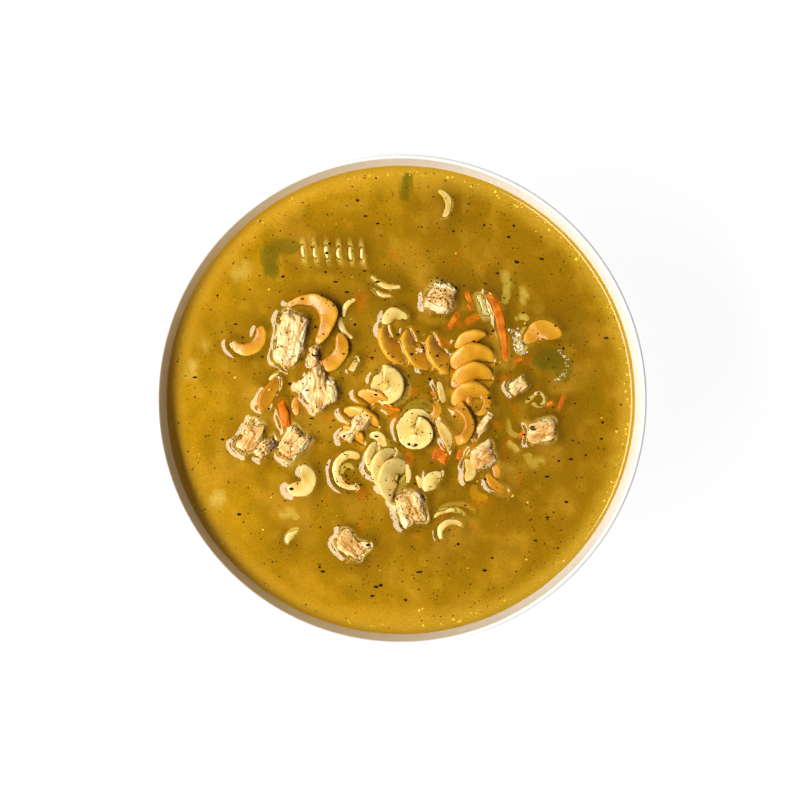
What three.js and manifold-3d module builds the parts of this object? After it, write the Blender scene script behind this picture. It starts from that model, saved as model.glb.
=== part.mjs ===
// A bowl of chicken noodle soup: a white glazed bowl, broth up to its level, and every noodle,
// piece of chicken and larger piece of vegetable that breaks the surface of the broth.
// Millimetres, +Z up. The origin is the middle of the foot ring, on the table.
import * as THREE from 'three';
import { mergeVertices } from 'three/addons/utils/BufferGeometryUtils.js';
import Module from 'manifold-3d';

const wasm = await Module();
wasm.setup();

// ---- driving sizes -------------------------------------------------------------------------
const turnSegments = 36; // round the bowl and the broth
const clearance = 0.3; // between any two pieces

const bowlSize = {
  radius: 76,
  height: 60,
  lip: 1.4, // thickness of the rounded lip
  floorTop: 6.6, // inside floor above the table
  floorRadius: 24, // flat part of the inside floor
  footRadius: 38, // outside of the foot ring
  footWidth: 4.5,
  footHeight: 3.5,
};
const brothLevel = 51;

const screwSize = { thickness: 2, inner: 0.9, lean: 0, stepAngle: 40 };
const bladeSize = { thickness: 2.1, inner: 3.2, pitch: 5 };

// Colour, roughness of each kind of piece.
const looks = {
  bowl: [0xf4f2ef, 0.12],
  broth: [0xb58714, 0.1],
  orange: [0xdf9a24, 0.35],
  pale: [0xe2cd84, 0.35],
  chicken: [0xe8d5a4, 0.55],
  carrot: [0xd9640d, 0.4],
  onion: [0xd8c88a, 0.3],
};

// ---- joining and cutting -------------------------------------------------------------------
function toSolid(geometry) {
  const bare = geometry.clone();
  bare.deleteAttribute('normal');
  bare.deleteAttribute('uv');
  const merged = mergeVertices(bare);
  return new wasm.Manifold(new wasm.Mesh({
    numProp: 3,
    vertProperties: new Float32Array(merged.getAttribute('position').array),
    triVerts: new Uint32Array(merged.getIndex().array),
  }));
}

function toGeometry(solid) {
  const mesh = solid.getMesh();
  const geometry = new THREE.BufferGeometry();
  geometry.setAttribute('position', new THREE.BufferAttribute(mesh.vertProperties, 3));
  geometry.setIndex(new THREE.BufferAttribute(mesh.triVerts, 1));
  geometry.computeVertexNormals();
  return geometry;
}

// Of the bodies that a cut leaves, the largest is the piece; the rest are slivers.
function largestBody(solid) {
  return solid.decompose().reduce((best, body) => (body.volume() > best.volume() ? body : best));
}

function boxesMeet(a, b) {
  const boxA = a.boundingBox();
  const boxB = b.boundingBox();
  return [0, 1, 2].every((axis) => boxA.min[axis] < boxB.max[axis] && boxB.min[axis] < boxA.max[axis]);
}

// Moves every vertex of a geometry with place(vertex), which changes the vector it is given.
function reshape(geometry, place) {
  const positions = geometry.getAttribute('position');
  const vertex = new THREE.Vector3();
  for (let i = 0; i < positions.count; i += 1) {
    vertex.fromBufferAttribute(positions, i);
    place(vertex);
    positions.setXYZ(i, vertex.x, vertex.y, vertex.z);
  }
  return geometry;
}

// ---- bowl and broth ------------------------------------------------------------------------
const innerRim = bowlSize.radius - bowlSize.lip;
const lipCentre = bowlSize.height - bowlSize.lip / 2;

// The inside wall from the flat floor up to the lip.
const innerWall = new THREE.CubicBezierCurve(
  new THREE.Vector2(bowlSize.floorRadius, bowlSize.floorTop),
  new THREE.Vector2(bowlSize.radius * 0.72, bowlSize.floorTop),
  new THREE.Vector2(bowlSize.radius * 0.905, bowlSize.height * 0.42),
  new THREE.Vector2(innerRim, lipCentre),
);

// The outside wall from the lip down to the foot ring.
const outerWall = new THREE.CubicBezierCurve(
  new THREE.Vector2(bowlSize.radius, lipCentre),
  new THREE.Vector2(bowlSize.radius * 0.95, bowlSize.height * 0.38),
  new THREE.Vector2(bowlSize.radius * 0.78, bowlSize.footHeight),
  new THREE.Vector2(bowlSize.footRadius, bowlSize.footHeight),
);

const wallSteps = 6;

function bowlProfile() {
  const lipSteps = 4;
  const points = [new THREE.Vector2(0, bowlSize.floorTop), ...innerWall.getPoints(wallSteps)];
  for (let i = 1; i < lipSteps; i += 1) {
    const angle = Math.PI * (1 - i / lipSteps);
    const reach = bowlSize.lip / 2;
    points.push(new THREE.Vector2(
      bowlSize.radius - reach + reach * Math.cos(angle),
      lipCentre + reach * Math.sin(angle),
    ));
  }
  points.push(...outerWall.getPoints(wallSteps));
  const inner = bowlSize.footRadius - bowlSize.footWidth;
  points.push(new THREE.Vector2(bowlSize.footRadius, 0), new THREE.Vector2(inner, 0));
  points.push(new THREE.Vector2(inner, bowlSize.footHeight), new THREE.Vector2(0, bowlSize.footHeight));
  return points;
}

// The broth follows the inside wall at the clearance and stops flat at its level.
function brothProfile() {
  const points = [new THREE.Vector2(0, bowlSize.floorTop + clearance)];
  let last = null;
  for (let i = 0; i <= wallSteps; i += 1) {
    const point = innerWall.getPoint(i / wallSteps);
    const along = innerWall.getTangent(i / wallSteps);
    point.add(new THREE.Vector2(-along.y, along.x).multiplyScalar(clearance));
    if (point.y > brothLevel) {
      const part = (brothLevel - last.y) / (point.y - last.y);
      points.push(last.clone().lerp(point, part));
      break;
    }
    points.push(point);
    last = point;
  }
  points.push(new THREE.Vector2(0, brothLevel));
  return points;
}

// LatheGeometry turns round Y, so the lathe is stood up on Z.
function turned(profile) {
  const solid = toSolid(new THREE.LatheGeometry(profile, turnSegments).rotateX(Math.PI / 2));
  return solid.volume() > 0 ? solid : toSolid(mirrored(profile));
}

function mirrored(profile) {
  return new THREE.LatheGeometry([...profile].reverse(), turnSegments).rotateX(Math.PI / 2);
}

// ---- noodles and chunks --------------------------------------------------------------------
// Each maker takes a size and a swell: the amount by which every face is moved outwards,
// which is 0 for the piece and the clearance for the pocket round it.

// How the turns of a noodle lie: laid back by its tilt, then turned about Z by its skew.
function laidBack({ tilt = 0, skew = 0 }) {
  return new THREE.Euler(0, -THREE.MathUtils.degToRad(tilt), THREE.MathUtils.degToRad(skew), 'ZYX');
}

// A cooked spiral noodle along X: one blade that winds right-handed round its middle like a
// spiral stair, from a start angle about X. Its turns lie over each other like fallen coins.
function screw(size, swell) {
  const { radii, inner, pitch, start, turns, thickness, lean, stepAngle } = { ...screwSize, ...size };
  const rim = new THREE.CatmullRomCurve3(radii.map((radius, i) => new THREE.Vector3(i, radius, 0)));
  const laid = laidBack(size);
  const thinEdge = 0.88;
  const steps = Math.round((turns * 360) / stepAngle);
  return reshape(new THREE.BoxGeometry(1, 1, 1, 1, steps, 1), (vertex) => {
    const along = vertex.y + 0.5;
    const outer = rim.getPoint(along).y;
    const atEnd = Math.abs(vertex.y) > 0.499;
    const beyond = atEnd ? (Math.sign(vertex.y) * 2 * swell) / outer : 0;
    const angle = THREE.MathUtils.degToRad(start + 360 * turns * along) + beyond;
    const atRim = vertex.x > 0;
    const reach = atRim ? outer + swell : Math.max(inner - swell, inner / 2);
    const half = (thickness / 2) * (atRim ? thinEdge : 1) + swell;
    const centre = pitch * turns * vertex.y;
    vertex.set(Math.sign(vertex.z) * half + lean * reach, reach * Math.cos(angle), reach * Math.sin(angle));
    vertex.applyEuler(laid);
    vertex.x += centre;
  });
}

// The plain pocket that a whole noodle leaves in the broth: a rod with its ends laid back too.
function screwPocket(size) {
  const { radii, pitch, turns, thickness, lean } = { ...screwSize, ...size };
  const laid = laidBack(size);
  const sides = 12;
  const bulge = 0.1; // of the rim between its given radii
  const beyond = thickness / 2 + clearance + Math.abs(lean) * Math.max(...radii);
  const ahead = new THREE.Vector3(1, 0, 0).applyEuler(laid);
  const sideways = beyond * Math.tan(Math.acos(ahead.x));
  const outside = (Math.max(...radii) + bulge + clearance) / Math.cos(Math.PI / sides) + sideways;
  return reshape(new THREE.CylinderGeometry(outside, outside, 2, sides).rotateZ(-Math.PI / 2), (vertex) => {
    const end = Math.sign(vertex.x);
    vertex.setX(end * beyond).applyEuler(laid);
    vertex.x += (end * pitch * turns) / 2;
  });
}

// One blade of a noodle: a flat leaf that winds round Z from one angle to another.
function leaf(size, swell) {
  const { radius, inner, thickness, pitch, from, to, tip = 0.45 } = { ...bladeSize, ...size };
  const start = THREE.MathUtils.degToRad(from);
  const end = THREE.MathUtils.degToRad(to);
  const middle = (radius + inner) / 2;
  const steps = Math.max(3, Math.round((to - from) / 26));
  return reshape(new THREE.BoxGeometry(1, 1, 1, 1, steps, 1), (vertex) => {
    const along = vertex.y + 0.5;
    const angle = start + (end - start) * along + (vertex.y * 2 * swell) / middle;
    const taper = tip + (1 - tip) * Math.sin(Math.PI * along) ** 0.7;
    const edge = vertex.x > 0 ? 0.75 : 1;
    const reach = middle + Math.sign(vertex.x) * (((radius - inner) / 2) * taper + swell);
    const height = (pitch * (angle - start)) / (2 * Math.PI);
    const half = Math.sign(vertex.z) * ((thickness / 2) * edge + swell);
    const out = Math.max(reach, 0.05);
    vertex.set(out * Math.cos(angle), out * Math.sin(angle), height + half);
  });
}

// A strip bent along a route, wide or narrow along its length, with its faces up.
function ribbon(size, swell) {
  const { route, widths, thickness = bladeSize.thickness, bank = 0, steps = 9 } = size;
  const curve = new THREE.CatmullRomCurve3(route.map((point) => new THREE.Vector3(...point)));
  const width = new THREE.CatmullRomCurve3(widths.map((wide, i) => new THREE.Vector3(i, wide, 0)));
  const up = new THREE.Vector3(0, 0, 1);
  return reshape(new THREE.BoxGeometry(1, 1, 1, steps, 1, 1), (vertex) => {
    const along = vertex.x + 0.5;
    const point = curve.getPoint(along);
    const tangent = curve.getTangent(along);
    const side = new THREE.Vector3().crossVectors(up, tangent).normalize();
    const face = new THREE.Vector3().crossVectors(tangent, side);
    side.applyAxisAngle(tangent, THREE.MathUtils.degToRad(bank));
    face.applyAxisAngle(tangent, THREE.MathUtils.degToRad(bank));
    const half = width.getPoint(along).y / 2 + swell;
    point.addScaledVector(tangent, Math.sign(vertex.x) * (Math.abs(vertex.x) > 0.49 ? swell : 0));
    point.addScaledVector(side, Math.sign(vertex.y) * half);
    point.addScaledVector(face, Math.sign(vertex.z) * (thickness / 2 + swell));
    vertex.copy(point);
  });
}

// Repeatable unevenness from -1 to 1.
function uneven(seed, x, y, z) {
  const wave = Math.sin(seed * 12.9 + x * 7.3 + y * 11.7 + z * 5.1) * 43.7;
  return 2 * (wave - Math.floor(wave)) - 1;
}

// A diced piece of meat or vegetable: a box with softened, uneven faces and a narrower top.
function chunk(size, swell) {
  const { across, crown = 0.8, soft = 0.35, rough = 0.5, seed = 1, peak = [0, 0] } = size;
  const [length, width, height] = across;
  const base = new THREE.BoxGeometry(2, 2, 2, 2, 2, 2);
  return reshape(base, (vertex) => {
    const { x, y, z } = vertex;
    const onBall = vertex.clone().normalize().multiplyScalar(1.18);
    vertex.lerp(onBall, soft);
    const narrow = 1 - (1 - crown) * (vertex.z * 0.5 + 0.5);
    const shift = vertex.z * 0.5 + 0.5;
    vertex.set(
      (vertex.x * narrow + peak[0] * shift) * (length / 2 + swell) + rough * uneven(seed, x, y, z),
      (vertex.y * narrow + peak[1] * shift) * (width / 2 + swell) + rough * uneven(seed + 1, x, y, z),
      vertex.z * (height / 2 + swell) + 0.6 * rough * uneven(seed + 2, x, y, z),
    );
  });
}

// ---- the pieces ----------------------------------------------------------------------------
// at: place in plan and height of the middle over the broth. turn: heading of the piece's X axis
// in plan, lift of its far end, and roll about its own axis, in degrees. A piece gives way to
// every piece before it in this list.
const pieces = {
  chicken_long: {
    make: chunk, look: 'chicken', at: [-34.6, 19.6, -0.2], turn: [76, 0, 0],
    size: { across: [18, 9.4, 8.4], crown: 0.84, seed: 3 },
  },
  chicken_fibrous: {
    make: chunk, look: 'chicken', at: [-26.4, 3.4, 0], turn: [-50, 0, 0],
    size: { across: [12.5, 10.5, 7.6], crown: 0.86, seed: 5 },
  },
  chicken_slant: {
    make: chunk, look: 'chicken', at: [-46.8, -11.6, -0.6], turn: [56, 0, 0],
    size: { across: [12.5, 5.6, 6.4], crown: 0.8, seed: 7 },
  },
  chicken_charred: {
    make: chunk, look: 'chicken', at: [-42, -14.2, -0.6], turn: [40, 0, 0],
    size: { across: [8.5, 4.2, 5.4], crown: 0.9, seed: 8 },
  },
  chicken_peaked: {
    make: chunk, look: 'chicken', at: [-34.6, -14.4, 0], turn: [48, 0, 0],
    size: { across: [14.5, 12, 8], crown: 0.45, peak: [0.3, 0], seed: 11 },
  },
  chicken_peppered: {
    make: chunk, look: 'chicken', at: [12.2, 32.2, 0], turn: [-20, 0, 0],
    size: { across: [9.4, 10.8, 7], crown: 0.82, seed: 13 },
  },
  chicken_strip: {
    make: chunk, look: 'chicken', at: [-13.9, -8.2, 1.4], turn: [50, 0, 0],
    size: { across: [11.6, 4.6, 4.4], crown: 0.86, seed: 17 },
  },
  chicken_wedge: {
    make: chunk, look: 'chicken', at: [2.6, -34, -0.4], turn: [-68, -8, 0],
    size: { across: [12.5, 9.6, 6.6], crown: 0.74, seed: 19 },
  },
  chicken_sunk: {
    make: chunk, look: 'chicken', at: [-15.2, -45.4, -1.6], turn: [-38, -8, 0],
    size: { across: [12, 8.4, 6.4], crown: 0.8, seed: 23 },
  },
  chicken_right: {
    make: chunk, look: 'chicken', at: [25.8, -17.2, -0.5], turn: [28, 0, 0],
    size: { across: [9.2, 8, 6.4], crown: 0.78, seed: 29 },
  },
  chicken_splinter: {
    make: chunk, look: 'chicken', at: [25.5, -8.4, 0.3], turn: [57, 6, 0],
    size: { across: [10.6, 2.6, 3.2], crown: 0.85, rough: 0.25, seed: 31 },
  },
  chicken_herbed: {
    make: chunk, look: 'chicken', at: [43.6, -9.4, -0.5], turn: [10, 0, 0],
    size: { across: [9.6, 8.2, 6], crown: 0.76, seed: 37 },
  },
  chicken_small: {
    make: chunk, look: 'chicken', at: [36.7, 4.6, -0.3], turn: [35, 0, 0],
    size: { across: [6.4, 4.8, 4.6], crown: 0.8, rough: 0.35, seed: 41 },
  },
  chicken_flake: {
    make: chunk, look: 'chicken', at: [-27.3, 13.9, 1.6], turn: [-80, 0, 0],
    size: { across: [6, 2.8, 3.6], crown: 0.7, rough: 0.3, seed: 43 },
  },

  rotini_orange_tall: {
    make: screw, look: 'orange', at: [21.7, 6.9, -0.2], turn: [-94, 0, 0],
    size: {
      radii: [5.6, 7.2, 7, 6.4, 6.2], inner: 2.1, pitch: 5.6, start: 40, turns: 3.8, thickness: 2.1,
      lean: -0.1, tilt: 60,
    },
  },
  rotini_orange_curl: {
    make: ribbon, look: 'orange', at: [0, 0, 0], turn: [0, 0, 0],
    size: {
      route: [[17.6, -1.6, 1.2], [20.4, -4.6, 2], [21.6, -8.4, 2], [20, -12, 1.6], [17.2, -12.8, 0.6]],
      widths: [4.4, 3.8, 3.8, 4, 3.4], bank: -12,
    },
  },
  rotini_orange_ridged: {
    make: screw, look: 'orange', at: [6, 16.4, -1.8], turn: [-12, 0, 0],
    size: {
      radii: [6.8, 7, 6.8], inner: 1.3, pitch: 7.6, start: -20, turns: 2.5, thickness: 2.2,
      lean: -0.1, tilt: 42, skew: 24,
    },
  },
  leaf_orange_broad: {
    make: ribbon, look: 'orange', at: [0, 0, 0], turn: [0, 0, 0],
    size: {
      route: [[-37.8, 6.6, -1.6], [-40.2, 3.8, 0], [-42.6, 0.2, 0.6], [-42.8, -3.6, -0.6]],
      widths: [2.6, 4.6, 5.2, 3], thickness: 2.2, bank: -24,
    },
  },
  leaf_orange_side: {
    make: leaf, look: 'orange', at: [-27.4, -1.6, -0.4], turn: [0, 0, 0],
    size: { radius: 7.2, inner: 4.4, from: 152, to: 214, pitch: 2, tip: 0.3 },
  },
  leaf_pale_side: {
    make: leaf, look: 'pale', at: [-36.2, 3.4, -0.7], turn: [0, 0, 0],
    size: { radius: 6.6, inner: 5, from: 102, to: 166, pitch: 2, thickness: 1.8, tip: 0.4 },
  },
  rotini_orange_under: {
    make: screw, look: 'orange', at: [-12.4, -6.5, -2.6], turn: [52, 0, 0],
    size: { radii: [6.6, 6.8, 6.6], inner: 1.3, pitch: 7, start: 60, turns: 2.8, lean: 0.1, tilt: -34 },
  },
  leaf_orange_low: {
    make: ribbon, look: 'orange', at: [0, 0, 0], turn: [0, 0, 0],
    size: {
      route: [[26.4, -23, -0.3], [28.2, -25.6, 0.3], [31, -27.8, 0.1], [33.6, -28.8, -1]],
      widths: [1.6, 2.8, 2.8, 1.4], thickness: 2, bank: -16,
    },
  },
  leaf_orange_bud: {
    make: chunk, look: 'orange', at: [29.8, -22.4, -0.9], turn: [80, 0, 0],
    size: { across: [4.6, 3, 3.4], rough: 0.2, soft: 0.7, seed: 61 },
  },
  rotini_pale_end: {
    make: screw, look: 'pale', at: [-3.2, 4, -0.9], turn: [160, 55, 0],
    size: { radii: [5.8, 6], inner: 1.2, pitch: 4.2, start: 130, turns: 2.2, thickness: 1.9, tilt: 35 },
  },
  rotini_pale_upright: {
    make: screw, look: 'pale', at: [4.9, -7.3, -0.4], turn: [-110, 42, 0],
    size: { radii: [6, 6.1], inner: 1.5, pitch: 3.6, start: -66, turns: 2.2, thickness: 1.7, tilt: 44 },
  },
  rotini_pale_fanned: {
    make: screw, look: 'pale', at: [-4.4, -20.8, -0.7], turn: [-56, 20, -20],
    size: { radii: [5.6, 6.2, 6.3], inner: 1.5, pitch: 4.2, start: -129, turns: 3, thickness: 1.8, tilt: 50 },
  },
  leaf_pale_arc_high: {
    make: leaf, look: 'pale', at: [-13.6, 27.4, -0.3], turn: [0, 0, 0],
    size: { radius: 5.2, inner: 3, from: 96, to: 196, pitch: 1, tip: 0.4 },
  },
  leaf_pale_arc_low: {
    make: leaf, look: 'pale', at: [-13.6, 24.8, -0.2], turn: [0, 0, 0],
    size: { radius: 6.8, inner: 4.4, from: 166, to: 256, pitch: 1, tip: 0.4 },
  },
  leaf_pale_sickle_long: {
    make: leaf, look: 'pale', at: [-2.4, 43.4, -0.8], turn: [0, 0, 0],
    size: { radius: 9.4, inner: 7.2, from: 212, to: 288, pitch: 1, tip: 0.35 },
  },
  leaf_pale_sickle_short: {
    make: leaf, look: 'pale', at: [-3.4, 39.6, -0.8], turn: [0, 0, 0],
    size: { radius: 8.2, inner: 6.4, from: 216, to: 276, pitch: 1, tip: 0.35 },
  },
  rotini_pale_far: {
    make: screw, look: 'pale', at: [-20.8, 46, -4.3], turn: [-2, 0, 0],
    size: { radii: [5.1, 5.1], pitch: 3.7, start: 0, turns: 5.5, thickness: 1.7, tilt: 10 },
  },
  leaf_pale_arch_inner: {
    make: leaf, look: 'pale', at: [15.9, -41.8, -0.5], turn: [0, 0, 0],
    size: { radius: 5.2, inner: 2.8, from: 34, to: 206, pitch: 1.2, tip: 0.6 },
  },
  leaf_pale_arch_outer: {
    make: leaf, look: 'pale', at: [15.6, -40.8, -0.9], turn: [0, 0, 0],
    size: { radius: 7.6, inner: 5.8, from: 46, to: 146, pitch: 1.2, thickness: 1.9, tip: 0.5 },
  },
  leaf_pale_keel: {
    make: leaf, look: 'pale', at: [-31.6, -44.6, -0.8], turn: [0, 0, 0],
    size: { radius: 5.6, inner: 2.8, from: 96, to: 186, pitch: -1, tip: 0.4 },
  },

  leaf_orange_loop: {
    make: ribbon, look: 'orange', at: [0, 0, 0], turn: [0, 0, 0],
    size: {
      route: [
        [-35.6, 29.4, 0.4], [-31.6, 31.4, 1.4], [-26.2, 31, 2], [-22.4, 27.6, 2.4],
        [-23.2, 22.6, 3], [-25.8, 17.6, 2.6],
      ],
      widths: [1.8, 2.6, 4.6, 6.4, 4.2, 2.2], thickness: 1.8, bank: 8,
    },
  },
  leaf_orange_crescent: {
    make: leaf, look: 'orange', at: [-24.6, 17, 0.6], turn: [0, 0, 0],
    size: { radius: 8.8, inner: 4, from: -112, to: 34, pitch: 3, tip: 0.3 },
  },
  leaf_orange_hook: {
    make: leaf, look: 'orange', at: [-48.6, 20.2, -0.7], turn: [0, 0, 0],
    size: { radius: 7, inner: 2.8, from: -160, to: 32, pitch: 1.6, tip: 0.5 },
  },
  leaf_orange_cap: {
    make: leaf, look: 'orange', at: [44.4, 18.4, 0.3], turn: [0, 0, 0],
    size: { radius: 7.2, inner: 0.6, from: 12, to: 196, pitch: -2.4, tip: 0.7 },
  },
  leaf_orange_lobe: {
    make: leaf, look: 'orange', at: [9.4, -3, -0.5], turn: [0, 0, 0],
    size: { radius: 3.6, inner: 0.6, from: -100, to: 70, pitch: 2, tip: 0.6 },
  },
  leaf_pale_ring: {
    make: leaf, look: 'pale', at: [-15.6, -22.2, 0.3], turn: [0, 0, 0],
    size: { radius: 6.6, inner: 3.7, from: 58, to: 296, pitch: -1.6, tip: 0.8 },
  },
  leaf_pale_disc: {
    make: leaf, look: 'pale', at: [-31.4, -25, -0.2], turn: [30, -8, 0],
    size: { radius: 5.4, inner: 0.4, from: -190, to: 60, pitch: 2, tip: 0.8 },
  },
  leaf_pale_fan: {
    make: leaf, look: 'pale', at: [11.8, -26.8, -0.5], turn: [0, -6, 0],
    size: { radius: 5.6, inner: 0.5, from: 70, to: 206, pitch: 2, tip: 0.7 },
  },
  leaf_pale_bud: {
    make: leaf, look: 'pale', at: [19.6, -22, 0], turn: [0, 0, 0],
    size: { radius: 4.3, inner: 0.5, from: -84, to: 84, pitch: 1, thickness: 3, tip: 0.7 },
  },
  leaf_pale_moon: {
    make: leaf, look: 'pale', at: [-1.6, 24.6, -0.3], turn: [0, 0, 0],
    size: { radius: 4.7, inner: 0.5, from: 6, to: 196, pitch: 2.4, tip: 0.7 },
  },
  leaf_pale_crescent: {
    make: leaf, look: 'pale', at: [10.6, 61, -0.7], turn: [0, 0, 0],
    size: { radius: 5.8, inner: 3.3, from: -66, to: 78, pitch: 1, tip: 0.35 },
  },
  leaf_pale_band: {
    make: ribbon, look: 'pale', at: [0, 0, 0], turn: [0, 0, 0],
    size: {
      route: [[11.6, 6.6, -0.2], [12.2, 3.6, 0.3], [13, 1, 0.3], [13.6, -1.2, -0.4]],
      widths: [1.4, 2, 2, 1.4], thickness: 1.8, bank: -10,
    },
  },
  leaf_pale_tail: {
    make: ribbon, look: 'pale', at: [0, 0, 0], turn: [0, 0, 0],
    size: {
      route: [[10.4, -5.6, -0.4], [12.6, -9, 0.2], [14.2, -12.4, 0.2], [14.8, -16, -0.4]],
      widths: [1.4, 3.4, 3.4, 1.6], thickness: 1.8, bank: -14,
    },
  },
  leaf_pale_tip: {
    make: ribbon, look: 'pale', at: [0, 0, 0], turn: [0, 0, 0],
    size: {
      route: [[-13.6, 13.8, -1], [-14.4, 11.4, 0], [-15.6, 9, 0.2]],
      widths: [1.2, 2, 2.4], thickness: 2, steps: 4,
    },
  },

  carrot_shred: {
    make: ribbon, look: 'carrot', at: [0, 0, 0], turn: [0, 0, 0],
    size: {
      route: [
        [26.2, 33.6, -0.8], [29.4, 30.4, -0.2], [30.8, 27, 0.2], [32, 20, 0.1], [33.2, 11.4, 0.1],
      ],
      widths: [1.6, 2.4, 2.8, 2.6, 1.6], thickness: 2,
    },
  },
  carrot_piece: {
    make: chunk, look: 'carrot', at: [12.2, -17.4, -1.2], turn: [-20, 0, 0],
    size: { across: [6, 4.8, 3.4], rough: 0.25, seed: 47 },
  },
  carrot_glossy: {
    make: chunk, look: 'carrot', at: [-36, -4.8, 0.1], turn: [-74, 0, 0],
    size: { across: [10.4, 3.4, 3.6], crown: 0.7, rough: 0.3, seed: 53 },
  },
  onion_piece: {
    make: chunk, look: 'onion', at: [25.8, 29.4, -1.7], turn: [-72, 0, 0],
    size: { across: [10, 4.4, 3.8], rough: 0.3, seed: 59 },
  },
};

// Round a neighbour the facets of a swollen blade cut corners, so it is swollen twice over.
const neighbourSwell = 2 * clearance;

// ---- putting it together -------------------------------------------------------------------
// The place of a piece is baked into its solid for cutting; the mesh carries it as a position.
function placement({ at, turn }) {
  const [heading, lift, roll] = turn.map(THREE.MathUtils.degToRad);
  const holder = new THREE.Object3D();
  holder.position.set(at[0], at[1], brothLevel + at[2]);
  holder.rotation.set(roll, -lift, heading, 'ZYX');
  holder.updateMatrix();
  return holder.matrix;
}

function placedSolid(piece, swell) {
  return toSolid(piece.make(piece.size, swell).applyMatrix4(placement(piece)));
}

function pocketOf(piece) {
  if (piece.make !== screw) return placedSolid(piece, clearance);
  return toSolid(screwPocket(piece.size).applyMatrix4(placement(piece)));
}

function material(look) {
  const [color, roughness] = looks[look];
  return new THREE.MeshStandardMaterial({ color, roughness, metalness: 0 });
}

// A mesh whose own origin is the middle of its box, put back by its position.
function meshOf(name, solid, look) {
  const geometry = toGeometry(solid);
  geometry.computeBoundingBox();
  const middle = geometry.boundingBox.getCenter(new THREE.Vector3());
  geometry.translate(-middle.x, -middle.y, -middle.z);
  const mesh = new THREE.Mesh(geometry, material(look));
  mesh.name = name;
  mesh.position.copy(middle);
  return mesh;
}

const soup = new THREE.Group();
const bowlMesh = new THREE.Mesh(toGeometry(turned(bowlProfile())), material('bowl'));
bowlMesh.name = 'bowl';
soup.add(bowlMesh);

let broth = turned(brothProfile());
const placed = [];
for (const [name, piece] of Object.entries(pieces)) {
  let solid = placedSolid(piece, 0);
  for (const other of placed) {
    if (boxesMeet(solid, other)) solid = solid.subtract(other);
  }
  placed.push(placedSolid(piece, neighbourSwell));
  broth = broth.subtract(pocketOf(piece));
  soup.add(meshOf(name, largestBody(solid), piece.look));
}

const brothMesh = new THREE.Mesh(toGeometry(largestBody(broth)), material('broth'));
brothMesh.name = 'broth';
soup.add(brothMesh);

export default soup;
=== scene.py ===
import math

import bpy
import numpy as np
from mathutils import Matrix, Vector, noise
from mathutils.bvhtree import BVHTree
from mathutils.geometry import delaunay_2d_cdt


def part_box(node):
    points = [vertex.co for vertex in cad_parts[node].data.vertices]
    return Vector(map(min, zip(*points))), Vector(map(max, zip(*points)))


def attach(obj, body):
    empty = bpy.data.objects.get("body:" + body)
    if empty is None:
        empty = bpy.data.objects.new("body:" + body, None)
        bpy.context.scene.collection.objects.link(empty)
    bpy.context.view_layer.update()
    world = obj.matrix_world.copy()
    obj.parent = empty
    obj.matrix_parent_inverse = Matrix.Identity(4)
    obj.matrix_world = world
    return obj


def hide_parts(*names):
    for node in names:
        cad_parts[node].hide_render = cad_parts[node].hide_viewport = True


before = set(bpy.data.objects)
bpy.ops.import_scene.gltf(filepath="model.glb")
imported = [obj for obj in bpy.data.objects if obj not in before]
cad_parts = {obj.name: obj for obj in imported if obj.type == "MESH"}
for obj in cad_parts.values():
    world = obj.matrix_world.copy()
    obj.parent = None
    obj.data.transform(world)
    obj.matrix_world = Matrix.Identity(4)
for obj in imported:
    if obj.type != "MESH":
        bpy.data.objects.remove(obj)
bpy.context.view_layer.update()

# ----------------------------------------
# Bowl. Thick white stoneware, thrown round, with a rounded lip and a turned foot ring, dipped in
# a clear white glaze. One profile is turned about the middle and closed over itself.
bowl_low, bowl_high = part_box("bowl")
bowl_radius = bowl_high.x * 1000
bowl_height = bowl_high.z * 1000
lip_thickness = 1.4
floor_top = 6.6
floor_radius = 24.0
foot_radius = 38.0
foot_width = 4.5
foot_height = 3.5
lip_centre = bowl_height - lip_thickness / 2


def tone(red, green, blue):
    """A colour from its 0 to 255 screen values, as a shader takes it."""
    parts = [value / 255 for value in (red, green, blue)]
    return tuple(p / 12.92 if p < 0.04 else ((p + 0.055) / 1.055) ** 2.4 for p in parts) + (1.0,)


def wall_curve(corners, steps):
    """Points along a cubic curve through its first and last corner."""
    t = np.linspace(0, 1, steps + 1)[:, None]
    a, b, c, d = np.array(corners, float)
    return a * (1 - t) ** 3 + 3 * b * t * (1 - t) ** 2 + 3 * c * t**2 * (1 - t) + d * t**3


def shaped(name, points, faces, material, node=None, slot=None, values=None):
    """A finished piece from points in millimetres, with any values its material reads."""
    mesh = bpy.data.meshes.new(name)
    mesh.from_pydata((np.asarray(points) / 1000).tolist(), [], faces)
    for key, data in (values or {}).items():
        data = np.asarray(data, float)
        kind = {1: "FLOAT", 3: "FLOAT_VECTOR", 4: "FLOAT_COLOR"}[1 if data.ndim == 1 else data.shape[1]]
        layer = mesh.attributes.new(key, kind, "POINT")
        layer.data.foreach_set(
            {"FLOAT": "value", "FLOAT_VECTOR": "vector", "FLOAT_COLOR": "color"}[kind],
            data.astype(np.float32).ravel(),
        )
    mesh.shade_smooth()
    mesh.materials.append(material)
    piece = bpy.data.objects.new(name, mesh)
    bpy.context.scene.collection.objects.link(piece)
    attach(piece, "root")
    if node:
        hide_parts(node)
    return piece


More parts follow.
